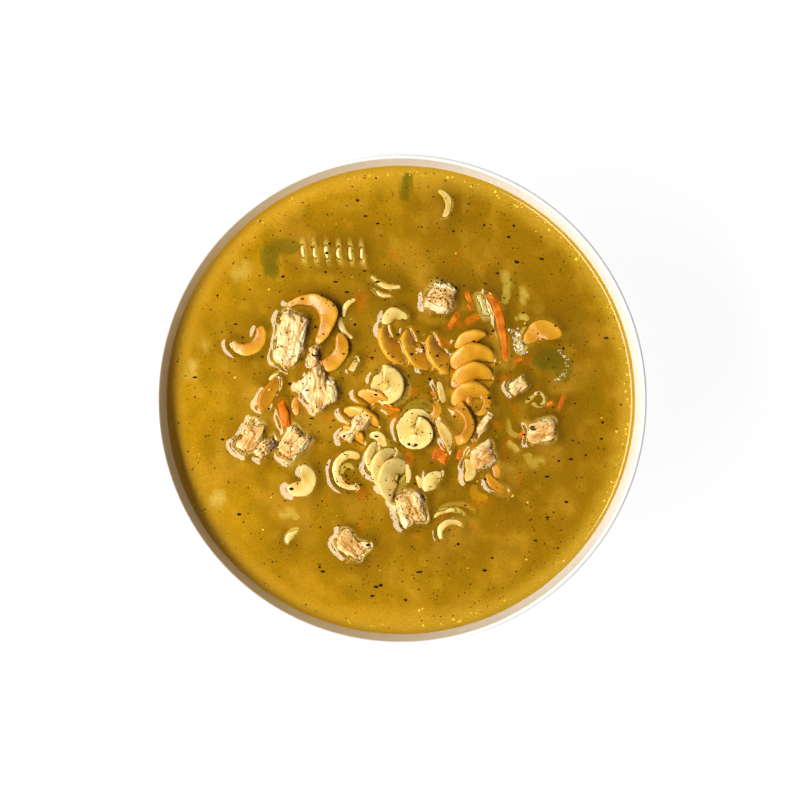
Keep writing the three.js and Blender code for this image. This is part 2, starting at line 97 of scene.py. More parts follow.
def turned(profile, around):
    """Points and faces of a profile, given from the axis round to the axis, turned about Z."""
    rings = profile[1:-1]
    angle = np.linspace(0, 2 * math.pi, around, endpoint=False)
    points = [[0, 0, profile[0][1]]]
    for radius, height in rings:
        points += [[radius * math.cos(a), radius * math.sin(a), height] for a in angle]
    points.append([0, 0, profile[-1][1]])
    faces = []
    for j in range(around):
        k = (j + 1) % around
        faces.append((0, 1 + j, 1 + k))
        for i in range(len(rings) - 1):
            low = 1 + i * around
            faces.append((low + j, low + around + j, low + around + k, low + k))
        top = 1 + (len(rings) - 1) * around
        faces.append((top + j, len(points) - 1, top + k))
    return points, faces


def links(material):
    return material.node_tree.links


def node_of(material, kind, **inputs):
    """A node with its plain inputs set by their names."""
    made = material.node_tree.nodes.new(kind)
    for key, value in inputs.items():
        made.inputs[key.replace("_", " ")].default_value = value
    return made


def worked(material, operation, *inputs):
    """A Math node. Each input is a number, an output to read, or None to leave it open."""
    made = node_of(material, "ShaderNodeMath")
    made.operation = operation
    for socket, value in zip(made.inputs, inputs):
        if isinstance(value, (int, float)):
            socket.default_value = value
        elif value is not None:
            links(material).new(value, socket)
    return made


def finish(name, roughness, coat=0.0, coat_roughness=0.1, subsurface=0.0, reach=0.002, ior=1.45):
    """A material with its shader's constant values set, and the shader."""
    material = bpy.data.materials.new(name)
    material.use_nodes = True
    shader = material.node_tree.nodes["Principled BSDF"]
    shader.inputs["Roughness"].default_value = roughness
    shader.inputs["IOR"].default_value = ior
    shader.inputs["Coat Weight"].default_value = coat
    shader.inputs["Coat Roughness"].default_value = coat_roughness
    shader.inputs["Subsurface Weight"].default_value = subsurface
    shader.inputs["Subsurface Radius"].default_value = (1.0, 0.55, 0.25)
    shader.inputs["Subsurface Scale"].default_value = reach
    return material, shader


def mottling_group():
    """Soft patches and a fine grain, used by every food here and by the glaze."""
    group = bpy.data.node_groups.new("mottling", "ShaderNodeTree")
    make = group.interface.new_socket
    make("Vector", in_out="INPUT", socket_type="NodeSocketVector")
    make("Patch Scale", in_out="INPUT", socket_type="NodeSocketFloat").default_value = 200
    make("Grain Scale", in_out="INPUT", socket_type="NodeSocketFloat").default_value = 1500
    make("Patches", in_out="OUTPUT", socket_type="NodeSocketFloat")
    make("Grain", in_out="OUTPUT", socket_type="NodeSocketFloat")
    start = group.nodes.new("NodeGroupInput")
    end = group.nodes.new("NodeGroupOutput")
    for scale, detail, out in (("Patch Scale", 3, "Patches"), ("Grain Scale", 2, "Grain")):
        cloud = group.nodes.new("ShaderNodeTexNoise")
        cloud.inputs["Detail"].default_value = detail
        group.links.new(start.outputs["Vector"], cloud.inputs["Vector"])
        group.links.new(start.outputs[scale], cloud.inputs["Scale"])
        group.links.new(cloud.outputs["Fac"], end.inputs[out])
    return group


mottling = mottling_group()


def mottled(material, vector, patch_scale, grain_scale):
    """Places the mottling in a material; vector is an output, or None for object coordinates."""
    holder = node_of(material, "ShaderNodeGroup")
    holder.node_tree = mottling
    if vector is None:
        vector = node_of(material, "ShaderNodeTexCoord").outputs["Object"]
    links(material).new(vector, holder.inputs["Vector"])
    holder.inputs["Patch Scale"].default_value = patch_scale
    holder.inputs["Grain Scale"].default_value = grain_scale
    return holder


def ramp(material, factor, stops):
    """A colour ramp on an output, from its (place, colour) stops."""
    made = node_of(material, "ShaderNodeValToRGB")
    marks = made.color_ramp.elements
    while len(marks) < len(stops):
        marks.new(0.5)
    for mark, (place, colour) in zip(marks, stops):
        mark.position = place
        mark.color = colour
    links(material).new(factor, made.inputs["Fac"])
    return made.outputs["Color"]


def relief(material, shader, height, distance):
    """Bump from a height output, over a distance in metres."""
    bump = node_of(material, "ShaderNodeBump", Strength=1.0, Distance=distance)
    links(material).new(height, bump.inputs["Height"])
    links(material).new(bump.outputs["Normal"], shader.inputs["Normal"])


def patchy(name, stops, patch_scale, grain_scale, depth=0.0, **more):
    """A material in soft patches of colour, with a fine grain in relief, and its shader."""
    material, shader = finish(name, **more)
    marks = mottled(material, None, patch_scale, grain_scale)
    links(material).new(ramp(material, marks.outputs["Patches"], stops), shader.inputs["Base Color"])
    if depth:
        relief(material, shader, marks.outputs["Grain"], depth)
    return material, shader


glaze, _ = patchy("white glaze", [(0.35, tone(242, 240, 236)), (0.65, tone(249, 248, 245))],
                  40, 900, 0.00002, roughness=0.13, coat=0.4, coat_roughness=0.04)

inner_wall = wall_curve([
    (floor_radius, floor_top), (bowl_radius * 0.72, floor_top),
    (bowl_radius * 0.905, bowl_height * 0.42), (bowl_radius - lip_thickness, lip_centre),
], 40)
outer_wall = wall_curve([
    (bowl_radius, lip_centre), (bowl_radius * 0.95, bowl_height * 0.38),
    (bowl_radius * 0.78, foot_height), (foot_radius, foot_height),
], 40)
lip_angle = np.linspace(math.pi, 0, 11)[1:-1]
lip_round = np.column_stack([
    bowl_radius - lip_thickness / 2 + lip_thickness / 2 * np.cos(lip_angle),
    lip_centre + lip_thickness / 2 * np.sin(lip_angle),
])
foot_inner = foot_radius - foot_width
foot_turn = 0.5
foot = np.array([
    (foot_radius, foot_height - foot_turn), (foot_radius, foot_turn), (foot_radius - foot_turn, 0),
    (foot_inner + foot_turn, 0), (foot_inner, foot_turn), (foot_inner, foot_height),
])
bowl_profile = np.vstack([
    [(0, floor_top)], [(floor_radius / 2, floor_top)], inner_wall, lip_round, outer_wall, foot,
    [(0, foot_height)],
])
shaped("bowl_glazed", *turned(bowl_profile, 240), glaze, node="bowl", slot="glaze")

# ----------------------------------------
# Whole spiral noodles. Wheat pasta whose one wide blade winds right-handed like a spiral stair.
# Boiled soft, its turns have swollen and lean over each other like a row of fallen coins.
broth_low, broth_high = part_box("broth")
level = broth_high.z * 1000
in_the_soup = []  # (name, points, faces, colour seen through the broth) of each piece


def unevenness(points, size, amount, seed):
    """Smooth random shifts of points, in millimetres, that repeat for a seed."""
    places = np.asarray(points) / size + seed * 7.31
    return np.array([noise.noise_vector(Vector(p)) for p in places]) * amount


def tube_faces(rings, around):
    """Faces of a closed tube of rings, with a middle point at each end."""
    faces = []
    for i in range(rings - 1):
        for j in range(around):
            k = (j + 1) % around
            faces.append((i * around + j, i * around + k, (i + 1) * around + k, (i + 1) * around + j))
    first, last = rings * around, rings * around + 1
    end = (rings - 1) * around
    for j in range(around):
        k = (j + 1) % around
        faces.append((first, k, j))
        faces.append((last, end + j, end + k))
    return faces


def rounded_ends(along, share=0.14):
    """1 along a strip, falling in a quarter circle to almost nothing at both its ends."""
    near = ((np.abs(2 * along - 1) - 1 + share) / share).clip(0, 1)
    return np.sqrt(1 - near**2).clip(0.04, 1)


def swept(line, side, up, half_width, half_thick, thin_edge=0.0, cup=0.0, soft=0.8, seed=0):
    """A strip about a line. Side and up are directions at each of its points; soft is how round
    its section is, from 0 for a square one to 1, and cup lifts both its edges."""
    around = 24
    turn = np.linspace(0, 2 * math.pi, around, endpoint=False)
    across = np.sign(np.cos(turn)) * np.abs(np.cos(turn)) ** soft
    over = np.sign(np.sin(turn)) * np.abs(np.sin(turn)) ** soft
    swell = 1 - thin_edge * (across + 1) / 2
    points = []
    for at, s, u, wide, thick in zip(line, side, up, half_width, half_thick):
        lift = over * (thick * swell + cup * (across**2 - 0.5))
        points.append(at + np.outer(across * wide, s) + np.outer(lift, u))
    points = np.vstack(points + [[line[0]], [line[-1]]])
    points = points + unevenness(points, 4.0, 0.35, seed) + unevenness(points, 1.4, 0.08, seed)
    outward = np.append(np.tile((across + 1) / 2, len(line)), [0.5, 0.5])
    return points, tube_faces(len(line), around), outward


def flowing(values, steps):
    """Smooth in-between values of a short list, from its first to its last."""
    values = np.array(values, float)
    held = np.concatenate([[2 * values[0] - values[1]], values, [2 * values[-1] - values[-2]]])
    result = []
    for t in np.linspace(0, len(values) - 1, steps):
        i = min(int(t), len(values) - 2)
        f = t - i
        a, b, c, d = held[i:i + 4]
        result.append(0.5 * (2 * b + (c - a) * f + (2 * a - 5 * b + 4 * c - d) * f**2
                             + (3 * b - a - 3 * c + d) * f**3))
    return np.array(result)


def screw(radii, pitch, start, turns, thickness=2.0, lean=0.0, tilt=0.0, skew=0.0, core=1.5, seed=0):
    """A whole noodle along X. Its blade winds right-handed from a start angle about X; radii are
    those of its rim along its length; lean shifts the rim along X. Tilt lays the turns back, and
    skew then turns them about Z."""
    steps = int(turns * 60)
    along = np.linspace(0, 1, steps)
    angle = math.radians(start) + 2 * math.pi * turns * along
    rim = flowing(radii, steps)
    inner = 0.35
    ends = rounded_ends(along, 0.09 / turns)
    side = np.column_stack([0 * angle, np.cos(angle), np.sin(angle)])
    line = side * ((rim + inner) / 2)[:, None]
    line[:, 0] = pitch * turns * (along - 0.5)
    up = np.tile([-1.0, 0.0, 0.0], (steps, 1))
    points, faces, outward = swept(line, side, up, (rim - inner) / 2 * (0.85 + 0.15 * ends),
                                   thickness / 2 * ends, 0.12, 0.16, 0.5, seed)
    centre = np.append(np.repeat(line[:, 0], (len(points) - 2) // steps), line[[0, -1], 0])
    along_x = points[:, 0] - centre + lean * np.hypot(points[:, 1], points[:, 2])
    laid_back = Matrix.Rotation(math.radians(skew), 3, "Z") @ Matrix.Rotation(-math.radians(tilt), 3, "Y")
    points = np.column_stack([along_x, points[:, 1:]]) @ np.array(laid_back).T
    points[:, 0] += centre
    reach = pitch * turns * 0.46
    rod = np.column_stack([np.linspace(-reach, reach, 16), np.zeros((16, 2))])
    thick = core * rounded_ends(np.linspace(0, 1, 16), 0.2)
    stub, stub_faces, _ = swept(rod, np.tile([0.0, 1.0, 0.0], (16, 1)), np.tile([0.0, 0.0, 1.0], (16, 1)),
                                thick, thick, soft=0.9, seed=seed + 50)
    stub += unevenness(stub, 1.6, 0.5, seed)
    faces = faces + [tuple(len(points) + i for i in face) for face in stub_faces]
    return np.vstack([points, stub]), faces, np.append(outward, np.full(len(stub), 0.3))


def laid(points, turn, node=None, middle=None):
    """Turns points by a heading, a lift and a roll, and centres them on a place over the broth, or
    in plan on a node's box with the same top."""
    heading, lift, roll = [math.radians(value) for value in turn]
    turning = (
        Matrix.Rotation(heading, 3, "Z") @ Matrix.Rotation(-lift, 3, "Y") @ Matrix.Rotation(roll, 3, "X")
    )
    points = np.asarray(points) @ np.array(turning).T
    own = (points.min(0) + points.max(0)) / 2
    if node:
        low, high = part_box(node)
        own[2] = points[:, 2].max()
        return points - own + np.array([(low.x + high.x) / 2, (low.y + high.y) / 2, high.z]) * 1000
    return points - own + np.array([middle[0], middle[1], level + middle[2]])


def pasta(name, stops):
    """Boiled pasta with a wet skin, its colour running from painted shade in the folds of a blade to painted
    light on its thin edge.
    """
    material, shader = finish(name, roughness=0.42, coat=0.35, coat_roughness=0.16,
                              subsurface=0.25, reach=0.0015)
    marks = mottled(material, None, 260, 1800)
    outward = node_of(material, "ShaderNodeAttribute")
    outward.attribute_name = "outward"
    # Painted shade and light: outward runs from a blade's inner edge to its thin outer edge, and the ramp
    # goes from shade to light along it.
    shifted = worked(material, "MULTIPLY_ADD", outward.outputs["Fac"], 0.5)
    eased_marks = worked(material, "MULTIPLY", marks.outputs["Patches"], 0.6)
    links(material).new(eased_marks.outputs[0], shifted.inputs[2])
    links(material).new(ramp(material, shifted.outputs[0], stops), shader.inputs["Base Color"])
    relief(material, shader, marks.outputs["Grain"], 0.00006)
    return material


# Stops run from painted shade in the folds to painted light on the thin edge.
orange_pasta = pasta("orange pasta", [
    (0.1, tone(176, 106, 0)), (0.35, tone(196, 128, 2)), (0.6, tone(212, 146, 8)),
    (0.85, tone(230, 170, 36)),
])
pale_pasta = pasta("pale pasta", [
    (0.1, tone(182, 138, 34)), (0.4, tone(220, 180, 80)), (0.7, tone(240, 210, 124)),
])
seen_orange = (206, 140, 16)
seen_pale = (212, 184, 84)


def noodle(node, made, turn, orange, middle=None, name=None):
    """Sets a made noodle in the soup as the piece for a node."""
    points, faces, outward = made
    points = laid(points, turn, node, middle)
    shaped(name or node + "_boiled", points, faces, orange_pasta if orange else pale_pasta,
           node=node, slot="noodle_orange" if orange else "noodle_pale", values={"outward": outward})
    in_the_soup.append((points, faces, seen_orange if orange else seen_pale))


noodle("rotini_orange_tall", screw([5.6, 7.2, 7, 6.4, 6.2], 5.6, 40, 3.8, thickness=2.1, lean=-0.1,
       tilt=60, seed=1), (-94, 0, 0), True)
noodle("rotini_orange_ridged", screw([6.8, 7, 6.8], 7.6, -20, 2.5, thickness=2.2, lean=-0.1, tilt=51,
       skew=28, seed=2), (-12, 0, 0), True)
noodle("rotini_orange_under", screw([6.6, 6.8, 6.6], 7, 60, 2.8, lean=0.1, tilt=-50, seed=3),
       (52, 0, 0), True)
noodle("rotini_pale_end", screw([5.8, 6], 4.2, 130, 2.2, thickness=1.9, tilt=35, seed=4),
       (160, 55, 0), False)
noodle("rotini_pale_upright", screw([6, 6.1], 3.6, 24, 2.2, thickness=1.7, tilt=44, seed=5),
       (-110, 42, 0), False)
noodle("rotini_pale_fanned", screw([5.6, 6.2, 6.3], 4.2, -129, 3.0, thickness=1.8, tilt=50, core=1.3, seed=6),
       (-56, 20, -20), False)
noodle("rotini_pale_far", screw([5.1, 5.1], 3.7, 0, 5.5, thickness=1.7, tilt=10, seed=7), (-2, 0, 0), False)

# ----------------------------------------
# Single blades. Most rotini float so deep that only the top of one blade shows: an arc, a fan or
# a strip of the same soft pasta. Each is one lens-shaped section carried along a bent line.


def wound_blade(radius, inner, start, end, thickness=2.1, pitch=5.0, tip=0.45, seed=0):
    """One blade of a noodle, lying flat and winding round Z from one angle to another."""
    along = np.linspace(0, 1, 64)
    angle = np.radians(start + (end - start) * along)
    ends = rounded_ends(along)
    taper = (tip + (1 - tip) * np.sin(math.pi * along).clip(0) ** 0.7) * ends
    middle = (radius + inner) / 2
    side = np.column_stack([np.cos(angle), np.sin(angle), 0 * angle])
    line = side * middle
    line[:, 2] = pitch * (angle - angle[0]) / (2 * math.pi)
    up = np.tile([0.0, 0.0, 1.0], (len(along), 1))
    return swept(line, side, up, (radius - inner) / 2 * taper, thickness / 2 * ends, 0.35,
                 0.12, 0.7, seed)


def strip(route, widths, thickness=2.1, bank=0.0, seed=0, cup=0.25):
    """A strip bent along a route, turned about its own line by a bank."""
    steps = 56
    along = np.linspace(0, 1, steps)
    line = flowing(route, steps)
    ahead = np.gradient(line, axis=0)
    ahead /= np.linalg.norm(ahead, axis=1)[:, None]
    side = np.cross([0.0, 0.0, 1.0], ahead)
    side /= np.linalg.norm(side, axis=1)[:, None]
    up = np.cross(ahead, side)
    tilt = math.radians(bank)
    banked = side * math.cos(tilt) + up * math.sin(tilt)
    up = up * math.cos(tilt) - side * math.sin(tilt)
    ends = rounded_ends(along)
    return swept(line, banked, up, flowing(widths, steps) / 2 * ends, thickness / 2 * ends, 0.0, cup,
                 0.7, seed)


def blade(node, orange, *sizes, turn=(0, 0, 0), **more):
    noodle(node, wound_blade(*sizes, seed=len(in_the_soup), **more), turn, orange)


def bent_strip(node, orange, route, widths, **more):
    noodle(node, strip(route, widths, seed=len(in_the_soup), **more), (0, 0, 0), orange)


bent_strip("rotini_orange_curl", True,
           [(17.6, -1.6, 1.2), (20.4, -4.6, 2), (21.6, -8.4, 2), (20, -12, 1.6), (17.2, -12.8, 0.6)],
           [4.2, 3.2, 3.2, 3.6, 3.2], bank=-12)
bent_strip("leaf_orange_broad", True,
           [(-37.8, 6.6, -1.6), (-40.2, 3.8, 0), (-42.6, 0.2, 0.6), (-42.8, -3.6, -0.6)],
           [2.6, 4.6, 5.2, 3], thickness=2.2, bank=-24)
bent_strip("leaf_orange_low", True,
           [(26.4, -23, -0.3), (28.2, -25.6, 0.3), (31, -27.8, 0.1), (33.6, -28.8, -1)],
           [1.6, 2.8, 2.8, 1.4], thickness=2, bank=-16)
bent_strip("leaf_orange_loop", True,
           [(-35.6, 29.4, 0.4), (-31.6, 31.4, 1.4), (-26.2, 31, 2), (-22.4, 27.6, 2.4),
            (-23.2, 22.6, 3), (-25.8, 17.6, 2.6)],
           [1.8, 2.6, 4.6, 6.4, 4.2, 2.2], thickness=1.8, bank=8)
bent_strip("leaf_pale_band", False,
           [(11.6, 6.6, -0.2), (12.2, 3.6, 0.3), (13, 1, 0.3), (13.6, -1.2, -0.4)],
           [1.4, 2, 2, 1.4], thickness=1.8, bank=-10)
bent_strip("leaf_pale_tail", False,
           [(10.4, -5.6, -0.4), (12.6, -9, 0.2), (14.2, -12.4, 0.2), (14.8, -16, -0.4)],
           [1.4, 3.4, 3.4, 1.6], thickness=1.8, bank=-14)
bent_strip("leaf_pale_tip", False,
           [(-13.6, 13.8, -1), (-14.4, 11.4, 0), (-15.6, 9, 0.2)], [1.2, 2, 2.4], thickness=2)
bent_strip("leaf_orange_bud", True, [(-0.6, 2.1, 0), (0.3, 0, 0.4), (0.4, -2.1, 0)], [2.4, 3.2, 2.2],
           thickness=3.2)
blade("leaf_orange_side", True, 7.2, 4.4, 152, 214, pitch=2, tip=0.3)
blade("leaf_orange_crescent", True, 8.8, 4, -112, 34, pitch=3, tip=0.3)
blade("leaf_orange_hook", True, 7, 2.8, -160, 32, pitch=1.6, tip=0.5)
blade("leaf_orange_cap", True, 7.2, 0.6, 12, 196, pitch=-2.4, tip=0.7)
blade("leaf_orange_lobe", True, 3.6, 0.6, -100, 70, pitch=2, tip=0.6)
blade("leaf_pale_side", False, 6.6, 5, 102, 166, thickness=1.8, pitch=2, tip=0.4)
blade("leaf_pale_arc_high", False, 5.2, 3, 96, 196, pitch=1, tip=0.4)
blade("leaf_pale_arc_low", False, 6.8, 4.4, 166, 256, pitch=1, tip=0.4)
blade("leaf_pale_sickle_long", False, 9.4, 7.2, 212, 288, pitch=1, tip=0.35)
blade("leaf_pale_sickle_short", False, 8.2, 6.4, 216, 276, pitch=1, tip=0.35)
blade("leaf_pale_arch_inner", False, 5.2, 2.8, 34, 206, pitch=1.2, tip=0.6)
blade("leaf_pale_arch_outer", False, 7.6, 5.8, 46, 146, thickness=1.9, pitch=1.2, tip=0.5)
blade("leaf_pale_keel", False, 5.6, 2.8, 96, 186, pitch=-1, tip=0.4)
blade("leaf_pale_ring", False, 6.6, 3.7, 58, 296, pitch=-1.6, tip=0.8)
blade("leaf_pale_disc", False, 5.4, 0.4, -190, 60, pitch=2, tip=0.8, turn=(30, -8, 0))
blade("leaf_pale_fan", False, 5.6, 0.5, 70, 206, pitch=2, tip=0.7, turn=(0, -6, 0))
blade("leaf_pale_bud", False, 4.3, 0.5, -84, 84, thickness=3, pitch=1, tip=0.7)
blade("leaf_pale_moon", False, 4.7, 0.5, 6, 196, pitch=2.4, tip=0.7)
blade("leaf_pale_crescent", False, 5.8, 3.3, -66, 78, pitch=1, tip=0.35)

# ----------------------------------------
# Chicken. Boiled breast meat, diced by hand and partly torn, so each dice is a softened box with
# long fibres along it, gaps between the bundles of fibre, and here and there a browned side.


def bumpy_lattice(seed, grid):
    """Unevenness of a dice, smooth between the corners, edges and faces of its box."""
    def corner(x, y, z):
        wave = np.sin(seed * 12.9 + x * 7.3 + y * 11.7 + z * 5.1) * 43.7
        return 2 * (wave - np.floor(wave)) - 1

    low = np.minimum(np.floor(grid), 0).clip(-1, 0)
    part = grid - low
    part = part * part * (3 - 2 * part)
    total = 0
    for pick in range(8):
        step = np.array([pick & 1, (pick >> 1) & 1, (pick >> 2) & 1])
        weight = np.prod(np.where(step, part, 1 - part), axis=1)
        total = total + weight * corner(*(low + step).T)
    return total


def box_grid(across, cell):
    """Points over a box from -1 to 1, with cells of one size, and its faces."""
    counts = [max(4, round(size / cell)) for size in across]
    index = {}
    points = []
    faces = []

    def point(i, j, k):
        if (i, j, k) not in index:
            index[i, j, k] = len(points)
            points.append([2 * i / counts[0] - 1, 2 * j / counts[1] - 1, 2 * k / counts[2] - 1])
        return index[i, j, k]

    for axis in range(3):
        u, v = (axis + 1) % 3, (axis + 2) % 3
        for end in (0, counts[axis]):
            for a in range(counts[u]):
                for b in range(counts[v]):
                    corners = []
                    for da, db in ((0, 0), (1, 0), (1, 1), (0, 1)):
                        place = [0, 0, 0]
                        place[axis], place[u], place[v] = end, a + da, b + db
                        corners.append(point(*place))
                    faces.append(tuple(corners if end else corners[::-1]))
    return np.array(points), faces


def outward_directions(points, faces):
    """The average direction in which the faces round each point look."""
    quads = np.array(faces)
    first, second, third, fourth = [points[quads[:, i]] for i in range(4)]
    look = np.cross(third - first, fourth - second)
    total = np.zeros_like(points)
    for i in range(4):
        np.add.at(total, quads[:, i], look)
    return total / np.linalg.norm(total, axis=1)[:, None].clip(1e-9)


def diced(across, crown=0.8, boxy=6.0, rough=0.6, peak=(0, 0), seed=1, fibre=0.0, torn=0.55,
          flake=(3.6, 1.5), browned=None, cell=0.3):
    """A dice of meat or vegetable along X: points, faces, its fibre places, gaps and browning.
    Flake is the length and width of its bundles of fibre, and torn how far they stand apart."""
    grid, faces = box_grid(across, cell)
    size = np.array(across)
    rounded = grid / (np.abs(grid) ** boxy).sum(1)[:, None] ** (1 / boxy) * 1.04
    shift = rounded[:, 2] * 0.5 + 0.5
    narrow = 1 - (1 - crown) * shift
    points = np.column_stack([
        (rounded[:, 0] * narrow + peak[0] * shift) * size[0] / 2,
        (rounded[:, 1] * narrow + peak[1] * shift) * size[1] / 2,
        rounded[:, 2] * size[2] / 2,
    ])
    for axis in range(3):
        amount = rough * (0.6 if axis == 2 else 1)
        points[:, axis] += amount * bumpy_lattice(seed + axis, grid)
    angle = math.radians(fibre)
    fibres = points @ np.array(Matrix.Rotation(angle, 3, "Z"))
    looks = outward_directions(points, faces)
    places = fibres + seed * 3.7
    threads = np.array([noise.noise(Vector((p[0] * 0.4, p[1] * 2.2, p[2] * 2.2))) for p in places])
    lumps = np.array([noise.noise(Vector(p) * 0.24) for p in places])
    steps, gaps = [], []
    for place in places:
        cell = Vector((place[0] / flake[0], place[1] / flake[1], place[2] / flake[1]))
        cell += noise.noise_vector(cell * 0.8) * 0.55
        distances, centres = noise.voronoi(cell)
        pick = math.sin(centres[0].dot(Vector((12.9, 78.2, 37.7)))) * 43.7
        steps.append(pick - math.floor(pick) - 0.5)
        gaps.append(max(0, 1 - (distances[1] - distances[0]) / 0.18))
    gaps = np.array(gaps)
    push = torn * (1.2 * np.array(steps) + 2.2 * lumps - 0.5 * gaps + 0.5 * threads)
    points = points + looks * push[:, None]
    brown = np.zeros(len(points))
    if browned:
        direction, amount = browned
        brown = ((grid @ np.array(direction)) + 0.9 * lumps).clip(0, 1) * amount
    return points, faces, {"fibre": fibres / 1000, "gap": gaps, "brown": brown}


def meat(name):
    """Moist white meat: cream fibres, painted shade in the gaps between them, and brown where it was seared.
    """
    material, shader = finish(name, roughness=0.45, coat=0.45, coat_roughness=0.18,
                              subsurface=0.2, reach=0.0014)
    places = node_of(material, "ShaderNodeAttribute")
    places.attribute_name = "fibre"
    stretch = node_of(material, "ShaderNodeMapping", Scale=(0.16, 1.0, 1.0))
    links(material).new(places.outputs["Vector"], stretch.inputs["Vector"])
    marks = mottled(material, stretch.outputs["Vector"], 420, 2600)
    colour = ramp(material, marks.outputs["Patches"], [
        (0.3, tone(204, 144, 60)), (0.42, tone(232, 184, 106)), (0.54, tone(244, 216, 150)),
        (0.68, tone(250, 234, 188)),
    ])
    # Painted shade: gap darkens the meat to tan in the gaps between bundles of fibre. Brown is the seared
    # browning.
    for attribute, shade, amount in (("gap", tone(190, 132, 44), 0.4), ("brown", tone(74, 36, 10), 0.95)):
        spot = node_of(material, "ShaderNodeAttribute")
        spot.attribute_name = attribute
        scaled = worked(material, "MULTIPLY", spot.outputs["Fac"], amount)
        mix = node_of(material, "ShaderNodeMix")
        mix.data_type = "RGBA"
        mix.inputs[7].default_value = shade
        links(material).new(scaled.outputs[0], mix.inputs[0])
        links(material).new(colour, mix.inputs[6])
        colour = mix.outputs[2]
    links(material).new(colour, shader.inputs["Base Color"])
    relief(material, shader, marks.outputs["Patches"], 0.00036)
    return material


chicken_meat = meat("boiled chicken")
seen_chicken = (222, 196, 132)


def chicken(node, across, turn, middle=None, name=None, **more):
    points, faces, values = diced(across, **more)
    points = laid(points, turn, node, middle)
    shaped(name or node + "_cooked", points, faces, chicken_meat, node=node, slot="chicken", values=values)
    in_the_soup.append((points, faces, seen_chicken))


chicken("chicken_long", [18, 9.4, 8.4], (76, 0, 0), crown=0.84, seed=3)
chicken("chicken_fibrous", [12.5, 10.5, 7.6], (-50, 0, 0), crown=0.86, seed=5, fibre=-40, torn=0.8,
        flake=(8, 2.2))
chicken("chicken_slant", [12.5, 5.6, 6.4], (56, 0, 0), crown=0.8, seed=7)
chicken("chicken_charred", [8.5, 4.2, 5.4], (40, 0, 0), crown=0.9, seed=8, browned=((0.9, -0.5, 0.2), 1.0))
chicken("chicken_peaked", [14.5, 12, 8], (48, 0, 0), crown=0.45, peak=(0.3, 0), seed=11)
chicken("chicken_peppered", [9.4, 10.8, 7], (-20, 0, 0), crown=0.82, seed=13)
chicken("chicken_strip", [11.6, 4.6, 4.4], (50, 0, 0), crown=0.86, seed=17)
chicken("chicken_wedge", [12.5, 9.6, 6.6], (-68, -8, 0), crown=0.74, seed=19)
chicken("chicken_sunk", [12, 8.4, 6.4], (-38, -8, 0), crown=0.8, seed=23, torn=0.4)
chicken("chicken_right", [9.2, 8, 6.4], (28, 0, 0), crown=0.78, seed=29)
chicken("chicken_splinter", [10.6, 2.6, 3.2], (57, 6, 0), crown=0.85, rough=0.25, seed=31)
chicken("chicken_herbed", [9.6, 8.2, 6], (10, 0, 0), crown=0.76, seed=37)
chicken("chicken_small", [6.4, 4.8, 4.6], (35, 0, 0), crown=0.8, rough=0.35, seed=41)
chicken("chicken_flake", [6, 2.8, 3.6], (-80, 0, 0), crown=0.7, rough=0.3, seed=43)

# ----------------------------------------
# Carrot. Grated shreds and a few small cut pieces, boiled through, so they are bright orange,
# wet and rounded at their edges. The shreds are strips, the cut pieces are diced.


carrot, carrot_shader = patchy("boiled carrot", [
    (0.3, tone(178, 80, 0)), (0.5, tone(210, 108, 0)), (0.7, tone(228, 134, 4)),
], 420, 2200, 0.00012, roughness=0.5, coat=0.06, reach=0.0015)
carrot_shader.inputs["Specular IOR Level"].default_value = 0.2
seen_carrot = (208, 106, 10)


def vegetable_piece(name, made, turn, material, slot, seen, node=None, middle=None):
    points = laid(made[0], turn, node, middle)
    shaped(name, points, made[1], material, node=node, slot=slot)
    in_the_soup.append((points, made[1], seen))


vegetable_piece("carrot_shred_boiled", strip(
    [(26.2, 33.6, -0.8), (29.4, 30.4, -0.2), (30.8, 27, 0.2), (32, 20, 0.1), (33.2, 11.4, 0.1)],
    [1.6, 2.4, 2.8, 2.6, 1.6], thickness=2, seed=4), (0, 0, 0), carrot, "carrot", seen_carrot,
    node="carrot_shred")
vegetable_piece("carrot_piece_boiled", diced([6, 4.8, 3.4], rough=0.25, seed=47, torn=0.12), (-20, 0, 0),
                carrot, "carrot", seen_carrot, node="carrot_piece")
vegetable_piece("carrot_glossy_boiled", diced([10.4, 3.4, 3.6], crown=0.7, rough=0.3, seed=53, torn=0.12),
                (-74, 0, 0), carrot, "carrot", seen_carrot, node="carrot_glossy")

# Loose bits of carrot: place of the middle over the broth, length, width, height and heading.
carrot_bits = [
    ((21.2, 32.2, -0.5), 4.4, 2.0, 1.8, -70), ((21.5, 29.1, -0.6), 2.4, 1.5, 1.6, -60),
    ((16.2, 24.6, -0.7), 6.2, 2.0, 1.8, 58), ((22.4, 25.3, -0.9), 5.4, 2.4, 1.8, 30),
    ((36.8, 12.4, -0.7), 3.6, 1.7, 1.8, 35), ((46.4, -1.2, -0.7), 3.4, 1.8, 1.8, 20),
    ((50.1, -0.8, -0.8), 5.8, 1.5, 1.8, 66), ((18.4, -17.1, -0.7), 3.8, 1.8, 1.8, 72),
    ((10.2, 2.0, -0.5), 2.4, 1.4, 1.6, -40), ((-2.9, -2.6, 0.7), 7.0, 1.2, 1.4, -16),
    ((37.6, -10.8, -0.7), 3.4, 1.6, 1.8, 50), ((-15.9, 48.0, -0.6), 1.3, 1.1, 1.2, 10),
]
for number, (middle, length, width, height, heading) in enumerate(carrot_bits):
    vegetable_piece(f"carrot_bit_{number + 1}", diced([length, width, height], rough=0.15, seed=70 + number,
                    torn=0.08, cell=0.25), (heading, 0, 0), carrot, "carrot", seen_carrot, middle=middle)

